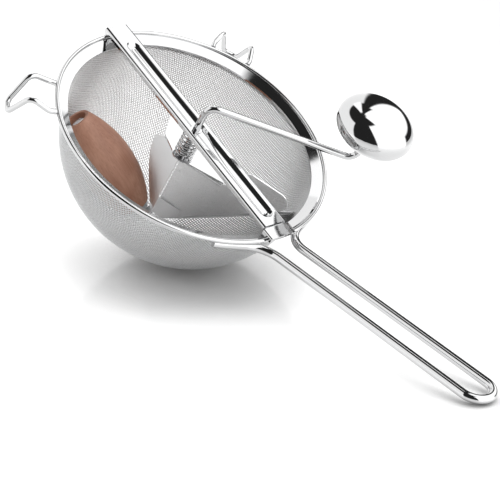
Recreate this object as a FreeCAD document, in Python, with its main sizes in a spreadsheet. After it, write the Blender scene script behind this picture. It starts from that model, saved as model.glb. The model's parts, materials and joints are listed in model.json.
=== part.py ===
import FreeCAD, Part
import math
import os
import re
import Sketcher

# Hand-cranked food mill: a wire-mesh bowl in a steel rim, a bar across the rim that
# carries a crank, and a scraper and a wooden roller that the crank drives over the mesh.
# All sizes are in millimetres and degrees. The mill is drawn upright, with the rim's
# top on the plane z = 0, the crank's shaft on the Z axis and the handle along +X. The
# finished pieces are then tilted to the pose in which the mill lies on a table.

SIZES = {
    # rim and mesh bowl
    "rim_radius": 100.0,
    "bead_radius": 1.5,
    "band_width": 10.2,
    "band_drop": 5.0,
    "band_sheet": 1.35,
    "bowl_inset": 9.0,
    "bowl_wall": 0.6,
    "bowl_centre_drop": 6.0,
    "bowl_edge_drop": 6.3,
    "cells_across": 12.0,
    "cell_rib": 10.0,
    "hem_width": 1.5,
    "hem_length": 3.6,
    "hem_drop": 5.9,
    # long wire handle
    "handle_wire": 6.0,
    "handle_gap": 22.8,
    "handle_length": 176.15,
    "handle_rise": 50.8,
    "handle_foot_angle": 28.5,
    "handle_leave_angle": 22.5,
    "handle_foot_inset": 3.2,
    "handle_bend": 20.0,
    # pot hooks
    "hook_wire": 4.0,
    "front_hook_azimuth": 123.0,
    "rear_hook_azimuth": 126.5,
    "hook_width": 28.0,
    "hook_shoulder": 17.5,
    "hook_reach": 27.0,
    "hook_drop": 19.0,
    "hook_tip_width": 11.0,
    # bar across the rim and the strap that holds its tongue
    "bar_width": 20.0,
    "bar_top": 4.0,
    "bar_sheet": 1.2,
    "bar_clear": 0.3,
    "bar_edge": 2.2,
    "groove_radius": 7.3,
    "groove_depth": 2.5,
    "groove_end_gap": 20.5,
    "lip_length": 6.0,
    "tongue_length": 9.0,
    "strap_width": 23.4,
    "strap_depth": 9.0,
    "strap_top": 3.7,
    "strap_edge": 1.4,
    # crank and knob
    "shaft_diameter": 5.0,
    "crank_rise": 23.5,
    "crank_reach": 108.8,
    "crank_azimuth": 48.6,
    "crank_bend": 8.0,
    "knob_diameter": 56.2,
    "knob_height": 33.0,
    "knob_wall": 0.3,
    "knob_lift": 15.8,
    "knob_bush_diameter": 9.8,
    # bush, spring and hub on the shaft
    "running_gap": 0.05,
    "bush_diameter": 8.0,
    "bush_flange": 12.0,
    "bush_flange_thick": 1.2,
    "washer_diameter": 16.0,
    "washer_thick": 0.8,
    "spring_wire": 1.4,
    "spring_radius": 6.5,
    "spring_turns": 5.5,
    "hub_drop": 24.0,
    "hub_sheet": 1.2,
    "hub_reach": 35.0,
    "sleeve_diameter": 9.6,
    "sleeve_length": 8.0,
    "pin_diameter": 2.0,
    # scraper wing and roller arm, as drawn for a bowl of radius bowl_drawn inside
    "bowl_drawn": 90.4,
    "wing_azimuth": 26.0,
    "blade_sheet": 1.2,
    "wing_top_drop": 4.5,
    "wing_mesh_gap": 1.4,
    "wing_reach": 91.9,
    "wing_corner": 7.5,
    "foot_angle": 58.0,
    "roll_radius": 1.5,
    "arm_reach": 26.8,
    "tab_length": 17.5,
    "tab_head_depth": 61.0,
    "tab_foot_depth": 76.2,
    "tab_margin": 1.0,
    "ear_radius": 6.0,
    # wooden roller
    "roller_radius": 20.0,
    "roller_half": 42.0,
    "roller_mesh_gap": 0.3,
    "roller_azimuth": -139.5,
    "roller_dip": 51.3,
    "axle_diameter": 4.0,
    "ferrule_length": 4.0,
    "roller_hollow_radius": 7.4,
    "roller_hollow_depth": 6.5,
    "spacer_length": 4.0,
}

TOUCH = 0.05
X = FreeCAD.Vector(1, 0, 0)
Y = FreeCAD.Vector(0, 1, 0)
Z = FreeCAD.Vector(0, 0, 1)

doc = FreeCAD.newDocument("FoodMill")
sheet = doc.addObject("Spreadsheet::Sheet", "Sizes")
for row, (alias, number) in enumerate(SIZES.items(), start=1):
    sheet.set("A%d" % row, alias.replace("_", " "))
    sheet.set("B%d" % row, str(number))
    sheet.setAlias("B%d" % row, alias)
doc.recompute()


def size(alias):
    """A size as a plain number, read from the sheet."""
    return float(sheet.get(alias))


def formula(text):
    """The text with every size name turned into a reference to its cell."""
    return re.sub(r"[a-z][a-z_]+", lambda m: "Sizes." + m[0] if m[0] in SIZES else m[0], text)


def vec(x, y, z):
    return FreeCAD.Vector(x, y, z)


def polar(radius, degrees, z):
    a = math.radians(degrees)
    return vec(radius * math.cos(a), radius * math.sin(a), z)


def at(x=0.0, y=0.0, z=0.0, turn=None):
    return FreeCAD.Placement(vec(x, y, z), turn or FreeCAD.Rotation())


def solid(kind, name, place, **sizes):
    """A Part primitive whose sizes are formulas on the sheet."""
    item = doc.addObject("Part::" + kind, name)
    for prop, text in sizes.items():
        item.setExpression(prop, formula(text))
    item.Placement = place
    return item


def cut(name, base, tool):
    item = doc.addObject("Part::Cut", name)
    item.Base = base
    item.Tool = tool
    return item


def fuse(name, *shapes):
    item = doc.addObject("Part::MultiFuse", name)
    item.Shapes = list(shapes)
    item.Refine = True
    return item


def common(name, *shapes):
    item = doc.addObject("Part::MultiCommon", name)
    item.Shapes = list(shapes)
    return item


def shaped(name, shape):
    """A piece whose shape has no primitive of its own."""
    item = doc.addObject("Part::Feature", name)
    item.Shape = shape
    return item


def ring(name, place, outer, inner, height):
    """A round disc or tube with a bore; the radii and the height are formulas."""
    body = solid("Cylinder", name + "_disc", place, Radius=outer, Height=height)
    bore = solid("Cylinder", name + "_bore", place, Radius=inner, Height=height)
    return cut(name, body, bore)


def rounded(points, radii):
    """Edges of a polyline with its inner corners rounded to the given radii."""
    edges = []
    start = points[0]
    for before, corner, after, radius in zip(points, points[1:], points[2:], radii):
        a = (before - corner).normalize()
        b = (after - corner).normalize()
        half = a.getAngle(b) / 2
        first = corner + a * (radius / math.tan(half))
        last = corner + b * (radius / math.tan(half))
        bisector = (a + b).normalize()
        middle = corner + bisector * (radius / math.sin(half) - radius)
        if (first - start).Length > 1e-6:
            edges.append(Part.makeLine(start, first))
        edges.append(Part.Arc(first, middle, last).toShape())
        start = last
    edges.append(Part.makeLine(start, points[-1]))
    return edges


def wire_solid(edges, radius):
    """Round wire of the given radius along a chain of tangent edges."""
    path = Part.Wire(edges)
    first = edges[0]
    begin = first.valueAt(first.FirstParameter)
    heading = first.tangentAt(first.FirstParameter)
    section = Part.Wire(Part.makeCircle(radius, begin, heading))
    return path.makePipeShell([section], True, False)


def plate(edges, thickness, normal):
    """Flat sheet of the given thickness, centred on the plane of its outline."""
    face = Part.Face(Part.Wire(edges))
    face.translate(normal * (-thickness / 2))
    return face.extrude(normal * thickness)


# Rim band and mesh bowl

bead_centre = size("rim_radius") - size("bead_radius")
bowl_outer = size("rim_radius") - size("bowl_inset")
bowl_inner = bowl_outer - size("bowl_wall")
bowl_centre = vec(0, 0, -size("bowl_centre_drop"))

band_cone = solid(
    "Cone", "band_cone", at(z=-size("band_drop") - size("band_sheet")),
    Radius1="rim_radius - band_width", Radius2="rim_radius - bead_radius",
    Height="band_drop - bead_radius / 5")
band_hollow = solid(
    "Cone", "band_hollow", at(z=-size("band_drop")),
    Radius1="rim_radius - band_width", Radius2="rim_radius - bead_radius",
    Height="band_drop - bead_radius / 5")
band_mouth = solid(
    "Cylinder", "band_mouth", at(z=-size("band_drop") - 2 * size("band_sheet")),
    Radius="rim_radius - band_width", Height="3 * band_sheet")
bead = solid(
    "Torus", "bead", at(z=-size("bead_radius")),
    Radius1="rim_radius - bead_radius", Radius2="bead_radius")
band_tool = fuse("band_tool", band_hollow, band_mouth)
rim_band = fuse("rim_band", cut("band_sheet_cone", band_cone, band_tool), bead)

edge_angle = "-asin((bowl_edge_drop - bowl_centre_drop) / (rim_radius - bowl_inset))"
bowl_ball = solid(
    "Sphere", "bowl_ball", at(z=bowl_centre.z),
    Radius="rim_radius - bowl_inset", Angle1="-90", Angle2=edge_angle)
bowl_void = solid(
    "Sphere", "bowl_void", at(z=bowl_centre.z),
    Radius="rim_radius - bowl_inset - bowl_wall")
bowl_shell = cut("bowl_shell", bowl_ball, bowl_void)
doc.recompute()

# The mesh's openings, drawn as a coarse grid: each is a square spread from a point above
# the bowl, so that the grid shears toward the rim as pressed wire cloth does

spread_height = 1.5 * bowl_outer
cell_turn = math.pi / size("cells_across")
rib_turn = size("cell_rib") / bowl_outer
cell_count = int(round(size("cells_across")))


def spread(turn):
    return bowl_outer * math.sin(turn) / (spread_height + bowl_outer * math.cos(turn))


def depth_to_bowl(across, along):
    stretch = 1 + across**2 + along**2
    inside = spread_height**2 - stretch * (spread_height**2 - bowl_outer**2)
    return (spread_height + math.sqrt(max(inside, 0.0))) / stretch


def spread_square(corners, depth):
    top = bowl_centre.z + spread_height
    points = [vec(a * depth, b * depth, top - depth) for a, b in corners]
    return Part.makePolygon(points + points[:1])


openings = []
for i in range(cell_count):
    for j in range(cell_count):
        sides = []
        for n in (i, j):
            start = (n - cell_count / 2) * cell_turn
            sides.append((spread(start + rib_turn / 2), spread(start + cell_turn - rib_turn / 2)))
        (a, b), (c, d) = sides
        corners = [(a, c), (b, c), (b, d), (a, d)]
        depths = [depth_to_bowl(*corner) for corner in corners]
        if min(depths) < spread_height + size("cell_rib"):
            continue
        margin = 6 * size("bowl_wall")
        wires = [
            spread_square(corners, min(depths) - margin),
            spread_square(corners, max(depths) + margin)]
        openings.append(Part.makeLoft(wires, True, True))
print("openings in the mesh bowl: %d" % len(openings))
mesh_bowl = shaped("mesh_bowl", bowl_shell.Shape.cut(openings))

mesh_hem_ring = ring(
    "mesh_hem_ring", at(z=-size("hem_drop") - size("hem_length")),
    "rim_radius - bowl_inset + 2 * running_gap + hem_width",
    "rim_radius - bowl_inset + 2 * running_gap", "hem_length")

# Handle: one wire whose two feet run under the rim and whose legs meet in a loop

handle_r = size("handle_wire") / 2
leg_y = size("handle_gap") / 2
foot_r = size("rim_radius") - size("handle_foot_inset")
foot_z = -2 * size("bead_radius") - handle_r - 4 * TOUCH
leave = size("handle_leave_angle")
leave_point = polar(foot_r, leave, foot_z)
leave_way = polar(1, leave - 90, 0)
corner = leave_point + leave_way * ((leave_point.y - leg_y) / -leave_way.y)
tip = vec(corner.x + size("handle_length"), 0, size("handle_rise"))
leg_way = (vec(tip.x, leg_y, tip.z) - corner).normalize()
loop_start = vec(tip.x, leg_y, tip.z) - leg_way * leg_y


def mirrored(point):
    return vec(point.x, -point.y, point.z)


foot_arc = Part.Arc(
    polar(foot_r, size("handle_foot_angle"), foot_z),
    polar(foot_r, (size("handle_foot_angle") + leave) / 2, foot_z),
    leave_point).toShape()
foot_arc_back = Part.Arc(
    mirrored(leave_point),
    polar(foot_r, -(size("handle_foot_angle") + leave) / 2, foot_z),
    polar(foot_r, -size("handle_foot_angle"), foot_z)).toShape()
leg = rounded([leave_point, corner, loop_start], [size("handle_bend")])
leg_back = rounded(
    [mirrored(loop_start), mirrored(corner), mirrored(leave_point)], [size("handle_bend")])
loop = Part.Arc(loop_start, tip, mirrored(loop_start)).toShape()
handle_wire = shaped(
    "handle_wire", wire_solid([foot_arc] + leg + [loop] + leg_back + [foot_arc_back], handle_r))

# Pot hooks: bent wires that stand off the rim's outer edge


def hook(azimuth):
    out = polar(1, azimuth, 0)
    side = polar(1, azimuth + 90, 0)
    rim = size("rim_radius")
    spread = math.degrees(math.asin(size("hook_width") / 2 / rim))
    half_tip = size("hook_tip_width") / 2
    weld_z = -size("bead_radius")

    def local(r, t, z):
        return out * r + side * t + vec(0, 0, z)

    half = []
    for sign in (1, -1):
        start_angle = azimuth + sign * spread
        start = polar(rim + 2 * TOUCH, start_angle, weld_z)
        straight = polar(rim + 5, start_angle, weld_z)
        shoulder = local(rim + size("hook_shoulder"), sign * 0.42 * size("hook_width"), 3.0)
        end = local(rim + size("hook_reach"), sign * half_tip, -size("hook_drop"))
        half.append([start, straight, shoulder, end])
    points = half[0] + half[1][::-1]
    return wire_solid(rounded(points, [8, 6, 5, 5, 6, 8]), size("hook_wire") / 2)


front_hook = shaped("front_hook", hook(-size("front_hook_azimuth")))
rear_hook = shaped("rear_hook", hook(size("rear_hook_azimuth")))

# Bar across the rim: a channel with a pressed groove, a lip over the far rim and a
# tongue that the strap holds down on the near rim

rim = size("rim_radius")
bar_half = size("bar_width") / 2
far_x = -rim - size("bar_clear") * 2 - size("bar_sheet")
step_x = rim - size("tongue_length")
bar_block = solid(
    "Box", "bar_block", at(far_x, -bar_half, size("bar_clear")),
    Length="2 * rim_radius + 2 * bar_clear + bar_sheet - tongue_length",
    Width="bar_width", Height="bar_top - bar_clear")
bar_hollow = solid(
    "Box", "bar_hollow",
    at(far_x + size("bar_sheet"), size("bar_sheet") - bar_half, size("bar_clear")),
    Length="2 * rim_radius", Width="bar_width - 2 * bar_sheet",
    Height="bar_top - bar_clear - bar_sheet")
doc.recompute()


def top_along(edge, block):
    box = edge.BoundBox
    return box.XLength > block.XLength / 2 and box.ZMin > block.ZMax - TOUCH


def rounded_box(name, base, radius):
    item = doc.addObject("Part::Fillet", name)
    item.Base = base
    block = base.Shape.BoundBox
    edges = enumerate(base.Shape.Edges, start=1)
    numbers = [i for i, edge in edges if top_along(edge, block)]
    item.Edges = [(i, radius, radius) for i in numbers]
    return item


bar_outside = rounded_box("bar_outside", bar_block, size("bar_edge"))
bar_inside = rounded_box("bar_inside", bar_hollow, size("bar_edge") - size("bar_sheet"))

groove_axis = size("bar_top") - size("groove_depth") + size("groove_radius")
along_x = FreeCAD.Rotation(Y, 90)


def capsule(name, radius):
    reach = rim - size("groove_end_gap")
    tube = solid(
        "Cylinder", name + "_tube", at(-reach, 0, groove_axis, along_x),
        Radius=radius, Height="2 * rim_radius - 2 * groove_end_gap")
    far = solid("Sphere", name + "_far", at(-reach, 0, groove_axis), Radius=radius)
    near = solid("Sphere", name + "_near", at(reach, 0, groove_axis), Radius=radius)
    return fuse(name, tube, far, near)


groove_skin = capsule("groove_skin", "groove_radius + bar_sheet")
groove_limit = solid(
    "Box", "groove_limit", at(-rim, -bar_half, -size("bar_top")),
    Length="2 * rim_radius", Width="bar_width", Height="2 * bar_top - bar_sheet / 4")
groove_void = capsule("groove_void", "groove_radius")
far_lip = solid(
    "Box", "far_lip", at(far_x, -0.8 * bar_half, -size("lip_length")),
    Length="bar_sheet", Width="0.8 * bar_width", Height="lip_length + bar_top / 2")

sheet_t = size("bar_sheet")
top_z = size("bar_top")
low_z = size("bar_clear") + sheet_t
tongue_end = rim - 0.5
tongue_half = 0.78 * bar_half
tongue_line = [
    (step_x - sheet_t, top_z - sheet_t / 2), (step_x, top_z - sheet_t / 2), (step_x, low_z),
    (tongue_end, low_z), (tongue_end, low_z - sheet_t), (step_x - sheet_t, low_z - sheet_t)]
tongue_points = [vec(x, 0, z) for x, z in tongue_line]
tongue = shaped(
    "tongue", plate(Part.makePolygon(tongue_points + tongue_points[:1]).Edges, 2 * tongue_half, Y))
bush_hole = solid(
    "Cylinder", "bush_hole", at(z=-size("bar_top")),
    Radius="bush_diameter / 2 + running_gap", Height="3 * bar_top")
channel = cut("channel", bar_outside, bar_inside)
bar_raw = fuse(
    "bar_raw", channel, common("groove_wall", groove_skin, groove_limit), far_lip, tongue)
bridge_bar = cut("bridge_bar", bar_raw, fuse("bar_tools", groove_void, bush_hole))

strap_block = solid(
    "Box", "strap_block", at(rim - 7.5, -size("strap_width") / 2, TOUCH),
    Length="strap_depth", Width="strap_width", Height="strap_top - %s" % TOUCH)
strap_hollow = solid(
    "Box", "strap_hollow",
    at(rim - 8.5, size("bar_sheet") - size("strap_width") / 2, -1),
    Length="strap_depth + 2", Width="strap_width - 2 * bar_sheet",
    Height="strap_top + 1 - bar_sheet")
doc.recompute()
strap_outside = rounded_box("strap_outside", strap_block, size("strap_edge"))
bridge_strap = cut("bridge_strap", strap_outside, strap_hollow)

# Bush in the bar, washers and pressure spring on the shaft

flange_top = size("bar_clear") - TOUCH
bush_foot = flange_top - size("bush_flange_thick")
bush_flange = solid(
    "Cylinder", "bush_flange_disc", at(z=bush_foot),
    Radius="bush_flange / 2", Height="bush_flange_thick")
bush_neck = solid(
    "Cylinder", "bush_neck", at(z=bush_foot), Radius="bush_diameter / 2",
    Height="bush_flange_thick + bar_sheet + 0.6")
bush_bore = solid(
    "Cylinder", "bush_bore", at(z=bush_foot - 1), Radius="shaft_diameter / 2 + running_gap",
    Height="bush_flange_thick + bar_sheet + 4")
shaft_bush = cut("shaft_bush", fuse("bush_body", bush_flange, bush_neck), bush_bore)

washer_top = bush_foot - TOUCH
upper_foot = washer_top - size("washer_thick")
upper_spring_washer = ring(
    "upper_spring_washer", at(z=upper_foot), "washer_diameter / 2",
    "shaft_diameter / 2 + 4 * running_gap", "washer_thick")
hub_top = -size("hub_drop")
lower_spring_washer = ring(
    "lower_spring_washer", at(z=hub_top + TOUCH), "washer_diameter / 2",
    "sleeve_diameter / 2 + 2 * running_gap", "washer_thick")


def helix_point(radius, angle, low, pitch):
    return polar(radius, math.degrees(angle), low + pitch * angle / (2 * math.pi))


def helix_way(radius, angle, pitch):
    rise = pitch / (2 * math.pi)
    return vec(-radius * math.sin(angle), radius * math.cos(angle), rise).normalize()


def arc_from(start, way, end):
    """Circular edge from start to end that leaves start along way."""
    chord = end - start
    across = chord - way * chord.dot(way)
    across.normalize()
    radius = chord.Length**2 / (2 * chord.dot(across))
    centre = start + across * radius
    middle = (start + end) * 0.5 - centre
    middle.normalize()
    return Part.Arc(start, centre + middle * radius, end).toShape()


def biarc(a, way_a, b, way_b):
    """Two tangent arcs that join point a with heading way_a to b with heading way_b."""
    gap = b - a
    both = way_a + way_b
    p = gap.dot(both)
    q = 2 * (1 - way_a.dot(way_b))
    reach = (-p + math.sqrt(p * p + q * gap.dot(gap))) / q
    joint = (a + b + (way_a - way_b) * reach) * 0.5
    joint_way = (b - a - both * reach).normalize()
    return [arc_from(a, way_a, joint), arc_from(joint, joint_way, b)]


spring_r = size("spring_radius")
coil_r = size("spring_wire") / 2
spring_low = hub_top + size("washer_thick") + coil_r + 3 * TOUCH
spring_high = upper_foot - coil_r - 3 * TOUCH
pitch = (spring_high - spring_low) / size("spring_turns")
quarters = int(round(4 * size("spring_turns")))
coil = []
for n in range(quarters):
    a = n * math.pi / 2
    b = a + math.pi / 2
    coil += biarc(
        helix_point(spring_r, a, spring_low, pitch), helix_way(spring_r, a, pitch),
        helix_point(spring_r, b, spring_low, pitch), helix_way(spring_r, b, pitch))
spots = Part.Wire(coil).discretize(24 * quarters)
half_turn = int(len(spots) / size("spring_turns") / 2)
self_gap = min(
    (spots[i] - spots[j]).Length - size("spring_wire")
    for i in range(len(spots)) for j in range(i + half_turn, len(spots)))
print("least gap of the spring to itself: %.2f mm" % self_gap)
if self_gap < 0.4:
    raise RuntimeError("the spring's turns are too close")
pressure_spring = shaped("pressure_spring", wire_solid(coil, coil_r))

# Crank: one rod that is the shaft, the arm and the knob's pin

shaft_r = size("shaft_diameter") / 2
hub_foot = hub_top - size("hub_sheet")
knob_at = polar(size("crank_reach"), size("crank_azimuth"), 0)
knob_foot = size("crank_rise") + size("knob_lift")
knob_mid = knob_foot + size("knob_height") / 2
crank_points = [
    vec(0, 0, hub_foot), vec(0, 0, size("crank_rise")),
    knob_at + vec(0, 0, size("crank_rise")), knob_at + vec(0, 0, knob_mid + 1.5)]
crank_bends = [size("crank_bend"), size("crank_bend")]
rod = shaped("rod", wire_solid(rounded(crank_points, crank_bends), shaft_r))
pin_z = hub_top + 0.5 * size("sleeve_length")
pin_way = FreeCAD.Rotation(Z, X)
pin_half = size("sleeve_diameter") / 2
pin_hole = solid(
    "Cylinder", "pin_hole", at(-2 * pin_half, 0, pin_z, pin_way),
    Radius="pin_diameter / 2 + running_gap", Height="2 * sleeve_diameter")
crank_rod = cut("crank_rod", rod, pin_hole)

# Hub: plate, sleeve and cross pin

sleeve_body = ring(
    "sleeve_body", at(z=hub_top + TOUCH), "sleeve_diameter / 2",
    "shaft_diameter / 2 + running_gap", "sleeve_length")
hub_sleeve = cut("hub_sleeve", sleeve_body, pin_hole)
hub_pin = solid(
    "Cylinder", "hub_pin", at(-pin_half, 0, pin_z, pin_way),
    Radius="pin_diameter / 2", Height="sleeve_diameter")

hub_reach = size("hub_reach")
hub_shares = [(-0.6, -0.017), (0, -0.186), (0.9, 0.417), (0.629, 0.686), (-0.571, 0.686), (-1, 0.414)]
hub_outline = [(x * hub_reach, y * hub_reach) for x, y in hub_shares]
hub_body = doc.addObject("PartDesign::Body", "hub_plate")
hub_sketch = hub_body.newObject("Sketcher::SketchObject", "hub_sketch")
for n, (x, y) in enumerate(hub_outline):
    x_next, y_next = hub_outline[(n + 1) % len(hub_outline)]
    hub_sketch.addGeometry(Part.LineSegment(vec(x, y, 0), vec(x_next, y_next, 0)), False)
for n, (x, y) in enumerate(hub_outline):
    hub_sketch.addConstraint(
        Sketcher.Constraint("Coincident", n, 2, (n + 1) % len(hub_outline), 1))
hole_index = hub_sketch.addGeometry(Part.Circle(vec(0, 0, 0), Z, shaft_r + TOUCH), False)
hub_sketch.addConstraint(Sketcher.Constraint("Coincident", hole_index, 3, -1, 1))
hole_rule = hub_sketch.addConstraint(
    Sketcher.Constraint("Radius", hole_index, shaft_r + TOUCH))
hub_sketch.setExpression(
    "Constraints[%d]" % hole_rule, formula("shaft_diameter / 2 + running_gap"))
hub_pad = hub_body.newObject("PartDesign::Pad", "hub_pad")
hub_pad.Profile = hub_sketch
hub_pad.setExpression("Length", formula("hub_sheet"))
hub_body.Placement = at(z=hub_foot)

# Scraper wing: an upright sheet whose lower part is bent back along a slanting crease,
# into a foot that presses the food down and sweeps the mesh

wing_way = polar(1, size("wing_azimuth"), 0)
wing_front = polar(1, size("wing_azimuth") - 90, 0)
blade_t = size("blade_sheet")
scrape_r = bowl_inner - size("wing_mesh_gap")
grow = bowl_inner / size("bowl_drawn")
wing_top = -size("wing_top_drop")
blade_top = hub_foot - TOUCH
wing_corner = size("wing_corner") * grow


def on_wing(s, z):
    return wing_way * s + vec(0, 0, z)


tab_low = bowl_centre.z - size("tab_foot_depth") * grow
tab_margin = size("tab_margin")
wing_root = 0.2 * blade_t
crease_low = on_wing(0.0885 * bowl_inner, tab_low - tab_margin)
crease_high = on_wing(size("wing_reach") * grow, wing_top)
crease_way = (crease_high - crease_low).normalize()
wing_line = rounded(
    [crease_low, on_wing(wing_root, crease_low.z), on_wing(wing_root, blade_top),
     on_wing(1.0514 * hub_reach, blade_top), on_wing(1.343 * hub_reach, wing_top),
     crease_high, crease_low],
    [0.5, 0.5, 2.5, 5.0, wing_corner])
wing_plate = plate(wing_line, blade_t, wing_front)

corner_turn = crease_way.getAngle(wing_way)
crease_end = crease_high - crease_way * (wing_corner / math.tan(corner_turn / 2))
below = wing_way * crease_way.z - Z * crease_way.dot(wing_way)
foot_turn = math.radians(size("foot_angle"))
foot_way = below * math.cos(foot_turn) - wing_front * math.sin(foot_turn)
foot_face = wing_front * math.cos(foot_turn) + below * math.sin(foot_turn)
foot_corners = [
    crease_low, crease_end, crease_end + foot_way * bowl_inner, crease_low + foot_way * bowl_inner]
foot_sheet = plate(Part.makePolygon(foot_corners + foot_corners[:1]).Edges, blade_t, foot_face)
bend = Part.makeCylinder(
    blade_t / 2, (crease_end - crease_low).Length, crease_low, crease_way)
bent_sheet = wing_plate.fuse([foot_sheet, bend]).common(Part.makeSphere(scrape_r, bowl_centre))
roll_r = size("roll_radius")
roll_start = on_wing(0.0914 * hub_reach, blade_top - TOUCH - roll_r) + wing_front * (blade_t / 2)
rolled_edge = Part.makeCylinder(roll_r, 0.886 * hub_reach, roll_start, wing_way)
scraper_wing = shaped("scraper_wing", bent_sheet.fuse(rolled_edge).removeSplitter())

# Wooden roller and its axle: a barrel that rolls on the mesh

dip = math.radians(size("roller_dip"))
toward = polar(math.cos(dip), size("roller_azimuth"), -math.sin(dip))
downward = polar(-math.sin(dip), size("roller_azimuth"), -math.cos(dip))
roller_r = size("roller_radius") * grow
axis_offset = bowl_inner - size("roller_mesh_gap") - roller_r
roller_mid = bowl_centre + toward * axis_offset
half = size("roller_half") * grow


def on_axle(s):
    """Point of the roller's axis, s millimetres from its middle toward its lower end."""
    return roller_mid + downward * s


axle_turn = FreeCAD.Rotation(Z, downward)
barrel_turn = FreeCAD.Rotation(Y, downward)


def along_axle(s):
    return FreeCAD.Placement(on_axle(s), axle_turn)


def barrel_radius(s):
    return math.sqrt((axis_offset + roller_r)**2 - s**2) - axis_offset


wood_end = half - size("ferrule_length")
axle_bore = size("axle_diameter") / 2 + size("running_gap")
roller_body = doc.addObject("PartDesign::Body", "wooden_roller")
profile = roller_body.newObject("Sketcher::SketchObject", "roller_profile")
barrel_r = axis_offset + roller_r
low_angle = math.asin(-half / barrel_r)
high_angle = math.asin(wood_end / barrel_r)
arc_circle = Part.Circle(vec(-axis_offset, 0, 0), Z, barrel_r)
profile.addGeometry(Part.ArcOfCircle(arc_circle, low_angle, high_angle), False)
upper_r = barrel_radius(half)
lower_r = barrel_radius(wood_end)
profile.addGeometry(
    Part.LineSegment(vec(lower_r, wood_end, 0), vec(axle_bore, wood_end, 0)), False)
hollow_foot = -half + size("roller_hollow_depth")
hollow_r = size("roller_hollow_radius") * grow
profile.addGeometry(
    Part.LineSegment(vec(axle_bore, wood_end, 0), vec(axle_bore, hollow_foot, 0)), False)
profile.addGeometry(
    Part.LineSegment(vec(axle_bore, hollow_foot, 0), vec(hollow_r, hollow_foot, 0)), False)
profile.addGeometry(
    Part.LineSegment(vec(hollow_r, hollow_foot, 0), vec(hollow_r, -half, 0)), False)
profile.addGeometry(
    Part.LineSegment(vec(hollow_r, -half, 0), vec(upper_r, -half, 0)), False)
for first in range(5):
    profile.addConstraint(Sketcher.Constraint("Coincident", first, 2, first + 1, 1))
profile.addConstraint(Sketcher.Constraint("Coincident", 5, 2, 0, 1))
for level in (1, 3, 5):
    profile.addConstraint(Sketcher.Constraint("Horizontal", level))
for upright in (2, 4):
    profile.addConstraint(Sketcher.Constraint("Vertical", upright))
profile.addConstraint(Sketcher.Constraint("PointOnObject", 0, 3, -1))


def ruled(constraint, text):
    number = profile.addConstraint(constraint)
    profile.setExpression("Constraints[%d]" % number, formula(text))


inner = "(rim_radius - bowl_inset - bowl_wall)"
ruled(Sketcher.Constraint("Radius", 0, barrel_r), inner + " - roller_mesh_gap")
ruled(
    Sketcher.Constraint("DistanceX", 0, 3, -1, 1, axis_offset),
    inner + " - roller_mesh_gap - roller_radius * " + inner + " / bowl_drawn")
ruled(
    Sketcher.Constraint("DistanceX", -1, 1, 2, 1, axle_bore),
    "axle_diameter / 2 + running_gap")
ruled(
    Sketcher.Constraint("DistanceY", -1, 1, 2, 1, wood_end),
    "roller_half * " + inner + " / bowl_drawn - ferrule_length")
ruled(
    Sketcher.Constraint("DistanceY", 4, 2, -1, 1, half),
    "roller_half * " + inner + " / bowl_drawn")
ruled(Sketcher.Constraint("DistanceY", 4, 2, 4, 1, size("roller_hollow_depth")), "roller_hollow_depth")
ruled(
    Sketcher.Constraint("DistanceX", -1, 1, 4, 1, hollow_r),
    "roller_hollow_radius * " + inner + " / bowl_drawn")
barrel = roller_body.newObject("PartDesign::Revolution", "roller_barrel")
barrel.Profile = profile
barrel.ReferenceAxis = (profile, ["V_Axis"])
barrel.Angle = 360
roller_body.Placement = FreeCAD.Placement(roller_mid, barrel_turn)

ferrule_h = size("ferrule_length") - TOUCH
ferrule_cone = Part.makeCone(
    barrel_radius(wood_end) - 0.1, barrel_radius(half), ferrule_h)
ferrule_bore = Part.makeCylinder(axle_bore, ferrule_h)
roller_ferrule = shaped("roller_ferrule", ferrule_cone.cut(ferrule_bore))
roller_ferrule.Placement = along_axle(wood_end + TOUCH)

ear_t = blade_t
ear_near = half + size("spacer_length") + 4 * TOUCH
head_near = ear_near + ear_t + TOUCH
head_t = 1.5
cap_far = hollow_foot - size("washer_thick") - 4 * TOUCH
axle_top = cap_far - 2.0
axle_pin = Part.makeCylinder(size("axle_diameter") / 2, head_near + head_t - axle_top)
axle_head = Part.makeCylinder(
    0.75 * size("axle_diameter"), head_t, vec(0, 0, head_near - axle_top))
roller_axle = shaped("roller_axle", axle_pin.fuse(axle_head).removeSplitter())
roller_axle.Placement = along_axle(axle_top)
roller_spacer = ring(
    "roller_spacer", along_axle(half + 2 * TOUCH), "0.8 * axle_diameter",
    "axle_diameter / 2 + running_gap", "spacer_length")
roller_washer = ring(
    "roller_washer", along_axle(hollow_foot - size("washer_thick") - 2 * TOUCH), "1.4 * axle_diameter",
    "axle_diameter / 2 + running_gap", "washer_thick")
cap_outer = solid(
    "Cylinder", "cap_outer", along_axle(cap_far - 3.0), Radius="1.1 * axle_diameter", Height="3")
cap_socket = solid(
    "Cylinder", "cap_socket", along_axle(axle_top - TOUCH),
    Radius="axle_diameter / 2 + running_gap", Height="axle_diameter")
roller_cap = cut("roller_cap", cap_outer, cap_socket)

# Roller arm: an upright leaf beside the shaft, a tab that lies on the wing, and an ear
# that carries the roller's axle

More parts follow.
